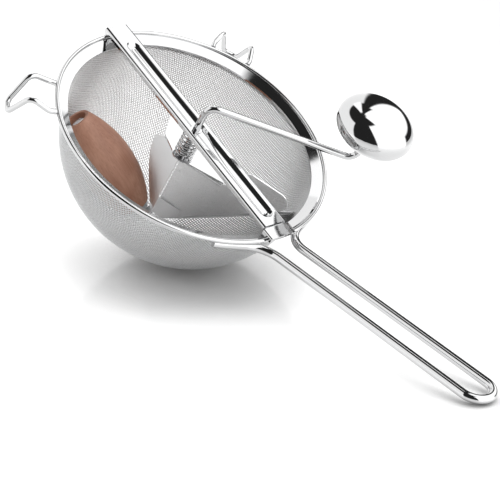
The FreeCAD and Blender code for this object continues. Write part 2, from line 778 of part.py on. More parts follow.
front_gap = blade_t + TOUCH
fold = wing_front * front_gap
arm_y = fold.y
ear_middle = on_axle(ear_near + ear_t / 2)
trace = downward.cross(Y).normalize()
reach_up = Y - downward * downward.y
reach_up.normalize()
trace_mid = ear_middle + reach_up * ((arm_y - ear_middle.y) / reach_up.y)
if trace.z < 0:
    trace = -trace
ear_r = size("ear_radius") * grow
chord = math.sqrt(max(ear_r**2 - (trace_mid - ear_middle).Length**2, 1.0))
trace_high = trace_mid + trace * (chord * 0.97)
trace_low = trace_mid + trace * (chord * 0.3)
tab_top = bowl_centre.z - size("tab_head_depth") * grow
tab_reach = size("tab_length") * grow
reach_x = -size("arm_reach") * grow
leaf_back = -0.2 * blade_t
shelf = blade_top
drop = trace_high.z - shelf


def on_arm(x, share):
    return vec(x, arm_y, shelf + share * drop)


leaf = [
    vec(leaf_back, arm_y, shelf), on_arm(0.72 * reach_x, 0.0), on_arm(1.02 * reach_x, 0.09),
    on_arm(0.99 * reach_x, 0.27), on_arm(0.8 * reach_x, 0.46), on_arm(0.5 * reach_x, 0.67),
    on_arm(0.12 * reach_x, 0.9), trace_low, trace_high,
    vec(fold.x, arm_y, trace_high.z), vec(fold.x, arm_y, tab_top), vec(leaf_back, arm_y, tab_top),
    vec(leaf_back, arm_y, shelf)]
leaf_edges = rounded(leaf, [6.0, 4.0, 8.0, 20.0, 20.0, 1.0, 0.3, 0.3, 0.3, 0.3, 0.3])
leaf_plate = plate(leaf_edges, blade_t, Y)
crease_run = crease_way.dot(wing_way)
tab_heel = crease_low + crease_way * ((tab_reach - crease_low.dot(wing_way)) / crease_run)
tab_corners = [
    fold + vec(0, 0, tab_top), fold + wing_way * tab_reach + vec(0, 0, tab_top),
    fold + tab_heel + Z * tab_margin, fold + crease_low + Z * tab_margin, fold + vec(0, 0, tab_low)]
tab_plate = plate(Part.makePolygon(tab_corners + tab_corners[:1]).Edges, blade_t, wing_front)
fold_post = Part.makeCylinder(
    blade_t / 2, tab_top - tab_low, fold + vec(0, 0, tab_low), Z)
ear_disc = Part.makeCylinder(ear_r, ear_t, on_axle(ear_near), downward)
ear_hole = Part.makeCylinder(axle_bore, 4 * ear_t, on_axle(ear_near - ear_t), downward)
arm_shape = leaf_plate.fuse([tab_plate, fold_post, ear_disc]).cut(ear_hole)
roller_arm = shaped("roller_arm", arm_shape.removeSplitter())

# Knob: a hollow pressed shell that turns freely on the crank's pin

knob_place = knob_at + vec(0, 0, knob_mid)
knob_skin = solid(
    "Ellipsoid", "knob_skin", FreeCAD.Placement(knob_place, FreeCAD.Rotation()),
    Radius1="knob_height / 2", Radius2="knob_diameter / 2", Radius3="knob_diameter / 2")
knob_void = solid(
    "Ellipsoid", "knob_void", FreeCAD.Placement(knob_place, FreeCAD.Rotation()),
    Radius1="knob_height / 2 - knob_wall", Radius2="knob_diameter / 2 - knob_wall",
    Radius3="knob_diameter / 2 - knob_wall")
knob_hole = solid(
    "Cylinder", "knob_hole",
    FreeCAD.Placement(knob_at + vec(0, 0, knob_foot - 3), FreeCAD.Rotation()),
    Radius="knob_bush_diameter / 2 + running_gap", Height="knob_height / 2")
knob_shell = cut("knob_shell", knob_skin, fuse("knob_tools", knob_void, knob_hole))

bush_low = knob_foot + 0.1
bush_length = size("knob_height") / 2 - 1.4
bush_shelf = knob_foot + size("knob_wall") + 0.8
bush_tube = Part.makeCylinder(
    size("knob_bush_diameter") / 2, bush_length, knob_at + vec(0, 0, bush_low))
bush_plate = Part.makeCylinder(
    0.72 * size("knob_bush_diameter"), 1.2, knob_at + vec(0, 0, bush_shelf))
bush_hollow = Part.makeCylinder(
    shaft_r + size("running_gap"), 2 * bush_length, knob_at + vec(0, 0, bush_low - 1))
knob_bush = shaped("knob_bush", bush_tube.fuse(bush_plate).cut(bush_hollow))
knob_retainer = ring(
    "knob_retainer",
    FreeCAD.Placement(knob_at + vec(0, 0, bush_low + bush_length + 0.1), FreeCAD.Rotation()),
    "0.48 * knob_bush_diameter", "shaft_diameter / 2 + running_gap", "washer_thick")

# Resting pose: the mill lies on the table on its bowl and the loop of its handle

pieces = [
    mesh_bowl, rim_band, mesh_hem_ring, handle_wire, bridge_strap, front_hook, rear_hook,
    bridge_bar, shaft_bush, upper_spring_washer, crank_rod, pressure_spring,
    lower_spring_washer, hub_sleeve, hub_pin, hub_body, scraper_wing, roller_arm,
    roller_axle, roller_spacer, roller_washer, roller_cap, knob_retainer, roller_body,
    roller_ferrule, knob_shell, knob_bush]

lift = tip.z - bowl_centre.z
tilt = math.asin((bowl_outer - handle_r) / math.hypot(tip.x, lift)) + math.atan2(lift, tip.x)
height = bowl_outer - bowl_centre.z * math.cos(tilt)
lie_down = FreeCAD.Placement(vec(0, 0, height), FreeCAD.Rotation(Y, math.degrees(tilt)))

doc.recompute()
upright = {piece.Name: piece.Placement for piece in pieces}
bounds = FreeCAD.BoundBox()
for piece in pieces:
    piece.Placement = lie_down.multiply(upright[piece.Name])
doc.recompute()
for piece in pieces:
    bounds.add(piece.Shape.optimalBoundingBox(False, False))
centring = at(-bounds.Center.x, -bounds.Center.y, -bounds.ZMin)
pose = centring.multiply(lie_down)
for piece in pieces:
    piece.Label = piece.Name
    piece.Placement = pose.multiply(upright[piece.Name])
doc.recompute()

print("tilt %.3f degrees" % math.degrees(tilt))
print("rim centre at %s" % pose.multVec(vec(0, 0, 0)))
print("crank axis along %s" % pose.Rotation.multVec(Z))
print("roller middle %s along %s" % (
    pose.multVec(roller_mid), pose.Rotation.multVec(downward)))
print("knob pin at %s" % pose.multVec(knob_place))
print("bridge hinge at %s" % pose.multVec(vec(bead_centre, 0, low_z - sheet_t)))

for item in doc.Objects:
    if "Invalid" in item.State or "Error" in item.State:
        raise RuntimeError("%s did not build: %s" % (item.Name, item.State))
for piece in pieces:
    if piece.Shape.isNull() or not piece.Shape.isValid():
        raise RuntimeError("%s has no valid shape" % piece.Label)

os.makedirs("parts", exist_ok=True)
for piece in pieces:
    piece.Shape.exportStep("parts/%s.step" % piece.Label)
print("%d pieces written" % len(pieces))
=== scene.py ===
# %% [markdown]
# # A food mill with a wire bowl
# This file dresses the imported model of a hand-cranked food mill: a bowl of woven wire in a
# polished rim, a long wire handle, and a bar that carries the crank, the scraper and the roller.
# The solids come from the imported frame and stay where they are. What is added here is the
# weave of the bowl, the finish of every piece, the floor, the light and the camera.

# %% Load the frame
import json
import math

import bpy
from mathutils import Matrix, Vector


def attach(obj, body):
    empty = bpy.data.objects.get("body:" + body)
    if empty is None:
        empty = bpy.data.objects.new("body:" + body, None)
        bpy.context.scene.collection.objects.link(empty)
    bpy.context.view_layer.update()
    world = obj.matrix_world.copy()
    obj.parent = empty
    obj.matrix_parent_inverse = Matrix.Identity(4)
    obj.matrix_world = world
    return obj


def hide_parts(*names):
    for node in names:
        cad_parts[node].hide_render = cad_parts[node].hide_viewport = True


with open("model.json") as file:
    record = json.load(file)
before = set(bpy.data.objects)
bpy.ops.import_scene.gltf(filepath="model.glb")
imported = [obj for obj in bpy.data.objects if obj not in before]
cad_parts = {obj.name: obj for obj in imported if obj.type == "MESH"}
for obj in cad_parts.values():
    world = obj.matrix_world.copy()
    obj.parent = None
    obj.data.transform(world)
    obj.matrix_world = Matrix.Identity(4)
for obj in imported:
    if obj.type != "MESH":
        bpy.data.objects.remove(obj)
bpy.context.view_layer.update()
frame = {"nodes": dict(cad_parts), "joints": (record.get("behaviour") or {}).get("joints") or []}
nodes = frame["nodes"]

# %% [markdown]
# The mill lies tilted, on its bowl and on the end of its handle. Its own axes are easier to
# think in than the floor's: the crank's shaft is the mill's Z axis, the handle points along X,
# and the centre of the rim is the origin. The crank's joint gives the shaft and the centre, and
# the mill leans about the floor's Y axis only, so the rest follows.

# %% The mill's own axes
MM = 0.001
FLOOR_UP = Vector((0.0, 0.0, 1.0))
joints = {joint["name"]: joint for joint in frame["joints"]}
rim_centre = Vector(joints["crank_turn"]["pos_m"])
mill_z = Vector(joints["crank_turn"]["axis"]).normalized()
mill_y = Vector((0.0, 1.0, 0.0))
mill_x = mill_y.cross(mill_z).normalized()
mill_turn = Matrix((mill_x, mill_y, mill_z)).transposed()
mill_frame = Matrix.Translation(rim_centre) @ mill_turn.to_4x4()
shaft_lean = mill_z.angle(FLOOR_UP)
print("the shaft leans by", round(math.degrees(shaft_lean), 2), "degrees")

# %% [markdown]
# The finishes, the weave and the studio are all trees of nodes, so a few helpers come first. One
# adds a node with its values set. One feeds a socket, either from another node or with a plain
# value. The others do sums, sums with vectors, changes of range and mixes of colour, so that each
# tree below reads as a short list. A Mix node repeats its sockets' names for each kind of data, so
# those for colours go by number.

# %% Helpers for node trees
MIX_SHARE, MIX_FIRST, MIX_SECOND, MIX_RESULT = 0, 6, 7, 2


def add_node(tree, kind, settings=(), **values):
    node = tree.nodes.new(kind)
    for name, value in dict(settings).items():
        setattr(node, name, value)
    for name, value in values.items():
        node.inputs[name.replace("_", " ")].default_value = value
    return node


def feed(tree, value, socket):
    if hasattr(value, "is_output"):
        tree.links.new(value, socket)
    else:
        socket.default_value = value


def add_math(tree, operation, first, second=0.0, clamp=False):
    node = add_node(tree, "ShaderNodeMath", {"operation": operation, "use_clamp": clamp})
    feed(tree, first, node.inputs[0])
    feed(tree, second, node.inputs[1])
    return node.outputs[0]


def add_vector_math(tree, operation, first, second=None, scale=None):
    node = add_node(tree, "ShaderNodeVectorMath", {"operation": operation})
    feed(tree, first, node.inputs[0])
    if second is not None:
        feed(tree, second, node.inputs[1])
    if scale is not None:
        feed(tree, scale, node.inputs["Scale"])
    return node.outputs["Value" if operation in ("DOT_PRODUCT", "LENGTH") else "Vector"]


def map_range(tree, source, low, high, out_low, out_high, shape="LINEAR"):
    node = add_node(tree, "ShaderNodeMapRange", {"interpolation_type": shape},
                    From_Min=low, From_Max=high, To_Min=out_low, To_Max=out_high)
    feed(tree, source, node.inputs["Value"])
    return node.outputs["Result"]


def opaque(colour):
    return (*colour, 1.0)


def mix_colours(tree, share, first, second, blend="MIX"):
    node = add_node(tree, "ShaderNodeMix", {"data_type": "RGBA", "blend_type": blend})
    feed(tree, share, node.inputs[MIX_SHARE])
    feed(tree, first, node.inputs[MIX_FIRST])
    feed(tree, second, node.inputs[MIX_SECOND])
    return node.outputs[MIX_RESULT]


# %% [markdown]
# Metal looks like what it mirrors, so every finish here is a few nodes on a principled shader.
# No real surface is equally glossy all over: a noise in the piece's own coordinates varies the
# roughness, and often raises a very low bump too.

# %% Helpers for finishes
NOISE_LOW = 0.3
NOISE_HIGH = 0.7


def new_finish(name, metallic, colour=None):
    finish = bpy.data.materials.new(name)
    finish.use_nodes = True
    shader = finish.node_tree.nodes["Principled BSDF"]
    shader.inputs["Metallic"].default_value = metallic
    if colour:
        shader.inputs["Base Color"].default_value = opaque(colour)
    return finish, finish.node_tree, shader


def object_noise(tree, scale, detail, stretch=None, turn=None):
    """Noise in the piece's own coordinates, which are first stretched and then turned."""
    coordinates = add_node(tree, "ShaderNodeTexCoord").outputs["Object"]
    if stretch or turn:
        mapping = add_node(tree, "ShaderNodeMapping")
        mapping.inputs["Scale"].default_value = stretch or (1.0, 1.0, 1.0)
        mapping.inputs["Rotation"].default_value = turn or (0.0, 0.0, 0.0)
        feed(tree, coordinates, mapping.inputs["Vector"])
        coordinates = mapping.outputs["Vector"]
    noise = add_node(tree, "ShaderNodeTexNoise", Scale=scale, Detail=detail)
    feed(tree, coordinates, noise.inputs["Vector"])
    return noise.outputs["Fac"]


def object_normal(tree, axis):
    parts = add_node(tree, "ShaderNodeSeparateXYZ")
    feed(tree, add_node(tree, "ShaderNodeTexCoord").outputs["Normal"], parts.inputs[0])
    return parts.outputs[axis]


def vary_roughness(tree, shader, pattern, smoothest, roughest, low=NOISE_LOW, high=NOISE_HIGH):
    feed(tree, map_range(tree, pattern, low, high, smoothest, roughest), shader.inputs["Roughness"])


def add_bump(tree, shader, pattern, strength, distance):
    bump = add_node(tree, "ShaderNodeBump", Strength=strength, Distance=distance)
    feed(tree, pattern, bump.inputs["Height"])
    feed(tree, bump.outputs["Normal"], shader.inputs["Normal"])


# %% [markdown]
# The rim, handle, hooks, bar, crank, knob and spring are polished stainless steel. Polished steel
# is never a perfect mirror: handling leaves a slight haze in patches, and the surface keeps very
# low waves.

# %% Polished steel
POLISHED_COLOUR = (0.62, 0.622, 0.625)
polished, tree, shader = new_finish("polished_steel", 1.0, POLISHED_COLOUR)
haze = object_noise(tree, scale=45.0, detail=4.0)
vary_roughness(tree, shader, haze, smoothest=0.035, roughest=0.075)
waves = object_noise(tree, scale=260.0, detail=2.0)
add_bump(tree, shader, waves, strength=0.02, distance=0.2 * MM)
print("made", polished.name)

# %% [markdown]
# The wing is sheet with a satin finish: fine level lines blur a reflection more across than along.
# Below its crease the foot bends back and looks down on the mesh. There the real mill shows a dark
# strip of shade, and the open weave under it lets too much light back up, so shade is painted into
# the colour: faces that look down get a darker colour. This painted shade is a choice for the look,
# and not a second material.

# %% Satin sheet
SATIN_COLOUR = (0.96, 0.962, 0.965)
# Painted shade: the colour given to faces of the wing that look down.
FOOT_PAINTED_SHADE = (0.28, 0.28, 0.285)
LOOKS_DOWN = -0.8
LOOKS_LEVEL = -0.5
LINE_STRETCH = (4.0, 4.0, 90.0)
satin, tree, shader = new_finish("satin_steel", 1.0)
level = map_range(tree, object_normal(tree, "Z"), LOOKS_DOWN, LOOKS_LEVEL, 0.0, 1.0)
sheet_colour_with_painted_shade = mix_colours(tree, level, opaque(FOOT_PAINTED_SHADE), opaque(SATIN_COLOUR))
feed(tree, sheet_colour_with_painted_shade, shader.inputs["Base Color"])
lines = object_noise(tree, scale=60.0, detail=5.0, stretch=LINE_STRETCH, turn=(0.0, -shaft_lean, 0.0))
vary_roughness(tree, shader, lines, smoothest=0.24, roughest=0.36, low=0.25, high=0.75)
add_bump(tree, shader, lines, strength=0.05, distance=0.2 * MM)
print("made", satin.name)

# %% [markdown]
# The leaf that carries the roller is duller. It stands beside the reddish roller, and as a flat
# sheet it would mirror the wood, where the real leaf looks pale. So its shading normal leans towards
# the shaft's upper end, as on a slightly hollow sheet, and it mirrors the light above. The leaf's
# faces look along the Y axis of the piece, and only they lean; its tab and ear stay as they are.

# %% Matt leaf
LEAF_COLOUR = (0.97, 0.97, 0.975)
LEAF_LEAN = 0.75
LEAF_FACE_START = 0.95
LEAF_FACE_FULL = 1.0
matt, tree, shader = new_finish("matt_steel", 0.9, LEAF_COLOUR)
blast = object_noise(tree, scale=1200.0, detail=2.0)
vary_roughness(tree, shader, blast, smoothest=0.32, roughest=0.40)
sideways = add_math(tree, "ABSOLUTE", object_normal(tree, "Y"))
lean = map_range(tree, sideways, LEAF_FACE_START, LEAF_FACE_FULL, 0.0, LEAF_LEAN)
upward = add_vector_math(tree, "SCALE", mill_z, scale=lean)
normal = add_node(tree, "ShaderNodeNewGeometry").outputs["Normal"]
leaning = add_vector_math(tree, "ADD", normal, upward)
feed(tree, add_vector_math(tree, "NORMALIZE", leaning), shader.inputs["Normal"])
print("made", matt.name)

# %% [markdown]
# Washers, pin, bush, hub sleeve, hem ring and the roller's fittings are plain turned or drawn steel,
# with a gloss between the polished and the satin one.

# %% Plain steel
PLAIN_COLOUR = (0.66, 0.66, 0.67)
plain, tree, shader = new_finish("plain_steel", 1.0, PLAIN_COLOUR)
grain = object_noise(tree, scale=400.0, detail=3.0)
vary_roughness(tree, shader, grain, smoothest=0.16, roughest=0.30)
add_bump(tree, shader, grain, strength=0.06, distance=0.1 * MM)
print("made", plain.name)

# %% [markdown]
# The bowl's wire is thin drawn steel with a soft gloss. Which side of the bowl a spot on a wire is
# on follows from its normal: outside, it points away from the centre of the ball that the bowl is
# half of. The real weave is finer than the one below, and three kinds of painted shade in the colour
# make up for that. The outside gets a slightly darker colour than the inside: painted shade. The
# flanks of the wires, close to the weave's middle surface, get a darker colour than the crests,
# strongly outside and weakly inside: painted shade in the crevices of the weave. And the inside gets
# a darker colour where the scraper, the leaf or the roller stands close over it, which an ambient
# occlusion node that looks inwards measures: painted shade. None of this depends on where the
# camera stands.

# %% Where a spot on the mesh is
BALL_RADIUS = 90.58 * MM
BALL_DROP = 6.0 * MM
SIDE_BLEND = 0.4
ball_centre = rim_centre - mill_z * BALL_DROP
mesh_wire, tree, shader = new_finish("mesh_wire_steel", 0.85)
spot = add_node(tree, "ShaderNodeTexCoord").outputs["Object"]
from_centre = add_vector_math(tree, "SUBTRACT", spot, ball_centre)
outward = add_vector_math(tree, "NORMALIZE", from_centre)
normal = add_node(tree, "ShaderNodeNewGeometry").outputs["Normal"]
facing = add_vector_math(tree, "DOT_PRODUCT", outward, normal)


def by_side(tree, inside, outside):
    return map_range(tree, facing, -SIDE_BLEND, SIDE_BLEND, inside, outside)


print("the ball's centre is", round(ball_centre.z / MM, 2), "mm above the floor")

# %% Mesh wire
WIRE_RADIUS = 0.36 * MM
WIRE_SWING = 0.08 * MM
INSIDE_COLOUR = (0.93, 0.932, 0.935)
OUTSIDE_SHADED_COLOUR = (0.87, 0.875, 0.88)
FLANK_SHADE = 0.35
FLANK_SHARE_INSIDE = 0.3
COVER_REACH = 25.0 * MM
COVERED = 0.12
UNCOVERED = 0.42
COVER_SHADE = 0.10
COVER_SAMPLES = 4
# Painted shade: the outside of the bowl gets a darker colour than the inside.
side_painted_shade_colour = mix_colours(tree, by_side(tree, 0.0, 1.0), opaque(INSIDE_COLOUR), opaque(OUTSIDE_SHADED_COLOUR))

# Painted shade: the flanks of the wires, near the weave's middle surface, get a darker colour than the
# crests.
above_middle = add_math(tree, "SUBTRACT", add_vector_math(tree, "LENGTH", from_centre), BALL_RADIUS)
off_middle = add_math(tree, "ABSOLUTE", above_middle)
flank_painted_shade = map_range(tree, off_middle, WIRE_SWING, WIRE_RADIUS, FLANK_SHADE, 1.0)
flank_share = by_side(tree, FLANK_SHARE_INSIDE, 1.0)
flank_painted_shade_colour = mix_colours(tree, flank_share, side_painted_shade_colour, flank_painted_shade, "MULTIPLY")

# Painted shade: the inside's colour is darkened where the ambient occlusion node finds the rotor
# close.
cover = add_node(tree, "ShaderNodeAmbientOcclusion", {"samples": COVER_SAMPLES}, Distance=COVER_REACH)
feed(tree, add_vector_math(tree, "SCALE", outward, scale=-1.0), cover.inputs["Normal"])
cover_painted_shade = map_range(tree, cover.outputs["AO"], COVERED, UNCOVERED, COVER_SHADE, 1.0)
wire_painted_shade_colour = mix_colours(tree, by_side(tree, 1.0, 0.0), flank_painted_shade_colour, cover_painted_shade, "MULTIPLY")
feed(tree, wire_painted_shade_colour, shader.inputs["Base Color"])

patches = object_noise(tree, scale=120.0, detail=2.0)
vary_roughness(tree, shader, patches, smoothest=0.40, roughest=0.50)
print("made", mesh_wire.name)

# %% [markdown]
# The roller is turned from a reddish close-grained wood. The grain runs along the roller, so the
# pattern is turned to the roller's axis and stretched along it. Three sizes of noise make broad
# colour bands, the grain lines and short dark flecks.

# %% Grain along the roller
roller_axis = Vector(joints["roller_spin"]["axis"]).normalized()
roller_middle = Vector(joints["roller_spin"]["pos_m"])
wood, tree, shader = new_finish("roller_wood", 0.0)
centred = add_node(tree, "ShaderNodeMapping")
centred.inputs["Location"].default_value = -roller_middle
feed(tree, add_node(tree, "ShaderNodeTexCoord").outputs["Object"], centred.inputs["Vector"])
turned = add_node(tree, "ShaderNodeMapping")
turned.inputs["Rotation"].default_value = roller_axis.rotation_difference(FLOOR_UP).to_euler()
feed(tree, centred.outputs["Vector"], turned.inputs["Vector"])


def along_grain(tree, scale, stretch, detail):
    mapping = add_node(tree, "ShaderNodeMapping")
    mapping.inputs["Scale"].default_value = (1.0, 1.0, stretch)
    feed(tree, turned.outputs["Vector"], mapping.inputs["Vector"])
    noise = add_node(tree, "ShaderNodeTexNoise", Scale=scale, Detail=detail, Roughness=0.6)
    feed(tree, mapping.outputs["Vector"], noise.inputs["Vector"])
    return noise.outputs["Fac"]


print("the grain runs along", [round(v, 3) for v in roller_axis])

# %% Roller wood
WOOD_DARK = (0.360, 0.160, 0.100)
WOOD_LIGHT = (0.560, 0.300, 0.205)
GRAIN_TINT = (0.80, 0.74, 0.70)
FLECK_TINT = (0.66, 0.58, 0.52)
DARK_BELOW = 0.30
LIGHT_ABOVE = 0.72
bands = along_grain(tree, scale=55.0, stretch=0.55, detail=2.0)
grain_lines = along_grain(tree, scale=900.0, stretch=0.06, detail=4.0)
flecks = along_grain(tree, scale=1500.0, stretch=0.16, detail=1.0)
ramp = add_node(tree, "ShaderNodeValToRGB")
dark_stop, light_stop = ramp.color_ramp.elements
dark_stop.position = DARK_BELOW
dark_stop.color = opaque(WOOD_DARK)
light_stop.position = LIGHT_ABOVE
light_stop.color = opaque(WOOD_LIGHT)
feed(tree, bands, ramp.inputs["Fac"])
grain_share = map_range(tree, grain_lines, low=0.42, high=0.70, out_low=0.0, out_high=0.75)
grained = mix_colours(tree, grain_share, ramp.outputs["Color"], opaque(GRAIN_TINT), "MULTIPLY")
fleck_share = map_range(tree, flecks, low=0.66, high=0.74, out_low=0.0, out_high=0.6)
flecked = mix_colours(tree, fleck_share, grained, opaque(FLECK_TINT), "MULTIPLY")
feed(tree, flecked, shader.inputs["Base Color"])
vary_roughness(tree, shader, grain_lines, smoothest=0.42, roughest=0.58)
add_bump(tree, shader, grain_lines, strength=0.12, distance=0.2 * MM)
print("made", wood.name)

# %% [markdown]
# Inside the knob sits a pale moulded bush. Moulded plastic has a faint orange-peel.

# %% Bush plastic
BUSH_COLOUR = (0.86, 0.86, 0.83)
bush, tree, shader = new_finish("knob_bush_plastic", 0.0, BUSH_COLOUR)
peel = object_noise(tree, scale=900.0, detail=2.0)
vary_roughness(tree, shader, peel, smoothest=0.40, roughest=0.52)
add_bump(tree, shader, peel, strength=0.05, distance=0.1 * MM)
print("made", bush.name)

# %% [markdown]
# Each solid from the frame now gets its finish by name.

# %% Dress the solids
FINISHES = {
    polished: ("rim_band", "handle_wire", "front_hook", "rear_hook", "crank_rod", "knob_shell",
               "bridge_bar", "bridge_strap", "hub_plate", "pressure_spring"),
    satin: ("scraper_wing",),
    matt: ("roller_arm",),
    plain: ("mesh_hem_ring", "shaft_bush", "upper_spring_washer", "lower_spring_washer",
            "hub_sleeve", "hub_pin", "roller_axle", "roller_spacer", "roller_washer",
            "roller_cap", "roller_ferrule", "knob_retainer"),
    mesh_wire: ("mesh_bowl",),
    wood: ("wooden_roller",),
    bush: ("knob_bush",),
}
for finish, names in FINISHES.items():
    for name in names:
        nodes[name].data.materials.clear()
        nodes[name].data.materials.append(finish)
        print(name, "gets", finish.name)

# %% [markdown]
# The bowl is a sheet of plain-woven wire, pressed into a half ball. A shader could paint the
# weave, but only real wires let light through and show their crossings up close. A grid with one
# vertex for each crossing is projected on the ball, from a point above its centre: near the bottom
# the cells stay square and towards the rim they shear, as pressed wire cloth does. Each wire
# passes over and under its neighbours in turn, so its vertices stand out and in by turns, and the
# wires that cross it do the opposite. The swing is shallower than on real wire, so wires that
# cross share some room, and the pitch is wider, so that single wires still show in the picture.

# %% Sizes of the weave
WEAVE_PITCH = 1.8 * MM
PROJECT_FROM = 1.5
EDGE_HEIGHT = -0.2 * MM
WIRE_SIDES = 6
crossings = 2 * int(math.pi / 2 * BALL_RADIUS / WEAVE_PITCH) + 1
print("wires each way:", crossings)

# %% [markdown]
# The tree's inputs come first: the sizes above, a sign for each of the two sides that a quarter of
# the bowl lies on, and the finish. The point that projects the grid stands above the ball's centre,
# by its height in ball radii.

# %% Inputs of the weave's tree
WEAVE_INPUTS = (
    ("Crossings", "Int"), ("Pitch", "Float"), ("Ball radius", "Float"), ("Projection height", "Float"),
    ("Wire radius", "Float"), ("Wire swing", "Float"), ("Wire sides", "Int"), ("Edge height", "Float"),
    ("Side X", "Float"), ("Side Y", "Float"), ("Finish", "Material"))
weave = bpy.data.node_groups.new("woven_bowl", "GeometryNodeTree")
for name, kind in WEAVE_INPUTS:
    weave.interface.new_socket(name, in_out="INPUT", socket_type="NodeSocket" + kind)
weave.interface.new_socket("Geometry", in_out="OUTPUT", socket_type="NodeSocketGeometry")
given = add_node(weave, "NodeGroupInput").outputs


def number(operation, first, second=0.0):
    return add_math(weave, operation, first, second)


def square(value):
    return number("MULTIPLY", value, value)


print("the weave's tree has", len(WEAVE_INPUTS), "inputs")

# %% [markdown]
# A crossing's row and column follow from its index in the grid. Both count along the ball from its
# lowest point, one pitch at a time, and give the slopes of the line of sight from the projecting
# point. Where that line meets the ball, moved out or in by the wire's swing, the crossing stands.

# %% Crossings on the ball
grid = add_node(weave, "GeometryNodeMeshGrid")
feed(weave, given["Crossings"], grid.inputs["Vertices X"])
feed(weave, given["Crossings"], grid.inputs["Vertices Y"])
index = add_node(weave, "GeometryNodeInputIndex").outputs[0]
row = number("FLOOR", number("DIVIDE", index, given["Crossings"]))
column = number("MODULO", index, given["Crossings"])
middle = number("FLOOR", number("DIVIDE", given["Crossings"], 2.0))
step = number("DIVIDE", given["Pitch"], given["Ball radius"])
height = number("MULTIPLY", given["Projection height"], given["Ball radius"])


def slope(place):
    angle = number("MULTIPLY", number("SUBTRACT", place, middle), step)
    below = number("ADD", given["Projection height"], number("COSINE", angle))
    return number("DIVIDE", number("SINE", angle), below)


slope_x = slope(row)
slope_y = slope(column)
spread = number("ADD", number("ADD", square(slope_x), square(slope_y)), 1.0)
odd = number("MODULO", number("ADD", row, column), 2.0)
alternate = number("SUBTRACT", number("MULTIPLY", odd, 2.0), 1.0)


def on_the_ball(swing_sign):
    swing = number("MULTIPLY", number("MULTIPLY", alternate, given["Wire swing"]), swing_sign)
    radius = number("ADD", given["Ball radius"], swing)
    inside = number("SUBTRACT", square(height), square(radius))
    under_root = number("SUBTRACT", square(height), number("MULTIPLY", spread, inside))
    root = number("SQRT", number("MAXIMUM", under_root, 0.0))
    reach = number("DIVIDE", number("ADD", height, root), spread)
    spot = add_node(weave, "ShaderNodeCombineXYZ")
    feed(weave, number("MULTIPLY", reach, slope_x), spot.inputs["X"])
    feed(weave, number("MULTIPLY", reach, slope_y), spot.inputs["Y"])
    feed(weave, number("SUBTRACT", height, reach), spot.inputs["Z"])
    moved = add_node(weave, "GeometryNodeSetPosition")
    feed(weave, grid.outputs["Mesh"], moved.inputs["Geometry"])
    feed(weave, spot.outputs["Vector"], moved.inputs["Position"])
    return moved.outputs["Geometry"]


print("the weave's tree has", len(weave.nodes), "nodes for the crossings")

# %% [markdown]
# The grid's edges along one side are one family of wires, those along the other side the second.
# An edge of the first joins neighbouring indices, and one of the second joins indices a whole row
# apart. Edges of the other family, above the bowl's edge or outside the quarter are dropped. The
# wire right on the border of two quarters belongs to one of them only, because a wire that stands
# there twice draws a dark line; so both borders are moved off it by a hair.

# %% Edges that a family keeps
NEXT_INDEX = 1.5
SEAM = 0.001 * MM


def compare(operation, first, second):
    node = add_node(weave, "FunctionNodeCompare", {"data_type": "FLOAT", "operation": operation})
    feed(weave, first, node.inputs[0])
    feed(weave, second, node.inputs[1])
    return node.outputs[0]


def either(first, second):
    node = add_node(weave, "FunctionNodeBooleanMath", {"operation": "OR"})
    feed(weave, first, node.inputs[0])
    feed(weave, second, node.inputs[1])
    return node.outputs[0]


def dropped_edges(first_family):
    ends = add_node(weave, "GeometryNodeInputMeshEdgeVertices").outputs
    apart = number("ABSOLUTE", number("SUBTRACT", ends[0], ends[1]))
    dropped = compare("GREATER_THAN" if first_family else "LESS_THAN", apart, NEXT_INDEX)
    spot = add_node(weave, "ShaderNodeSeparateXYZ")
    feed(weave, add_node(weave, "GeometryNodeInputPosition").outputs[0], spot.inputs[0])
    dropped = either(dropped, compare("GREATER_THAN", spot.outputs["Z"], given["Edge height"]))
    for axis in ("X", "Y"):
        side = given["Side " + axis]
        within = number("MULTIPLY", spot.outputs[axis], side)
        dropped = either(dropped, compare("LESS_THAN", within, number("MULTIPLY", side, SEAM)))
    return dropped


# %% [markdown]
# What is left of the grid becomes curves, and a small round section swept along each curve makes the
# wire. The two families are joined, and the tree ends in plain geometry with its material set.

# %% Wires
def wires(first_family):
    trim = add_node(weave, "GeometryNodeDeleteGeometry", {"domain": "EDGE"})
    feed(weave, on_the_ball(1.0 if first_family else -1.0), trim.inputs["Geometry"])
    feed(weave, dropped_edges(first_family), trim.inputs["Selection"])
    paths = add_node(weave, "GeometryNodeMeshToCurve")
    feed(weave, trim.outputs["Geometry"], paths.inputs["Mesh"])
    section = add_node(weave, "GeometryNodeCurvePrimitiveCircle")
    feed(weave, given["Wire sides"], section.inputs["Resolution"])
    feed(weave, given["Wire radius"], section.inputs["Radius"])
    tube = add_node(weave, "GeometryNodeCurveToMesh", Fill_Caps=True)
    feed(weave, paths.outputs["Curve"], tube.inputs["Curve"])
    feed(weave, section.outputs["Curve"], tube.inputs["Profile Curve"])
    return tube.outputs["Mesh"]


both = add_node(weave, "GeometryNodeJoinGeometry")
for first_family in (True, False):
    feed(weave, wires(first_family), both.inputs["Geometry"])
smooth = add_node(weave, "GeometryNodeSetShadeSmooth")
feed(weave, both.outputs["Geometry"], smooth.inputs["Geometry"])
real = add_node(weave, "GeometryNodeRealizeInstances")
feed(weave, smooth.outputs["Geometry"], real.inputs["Geometry"])
coat = add_node(weave, "GeometryNodeSetMaterial")
feed(weave, real.outputs["Geometry"], coat.inputs["Geometry"])
feed(weave, given["Finish"], coat.inputs["Material"])
feed(weave, coat.outputs["Geometry"], add_node(weave, "NodeGroupOutput").inputs["Geometry"])
print("the weave's tree has", len(weave.nodes), "nodes in all")

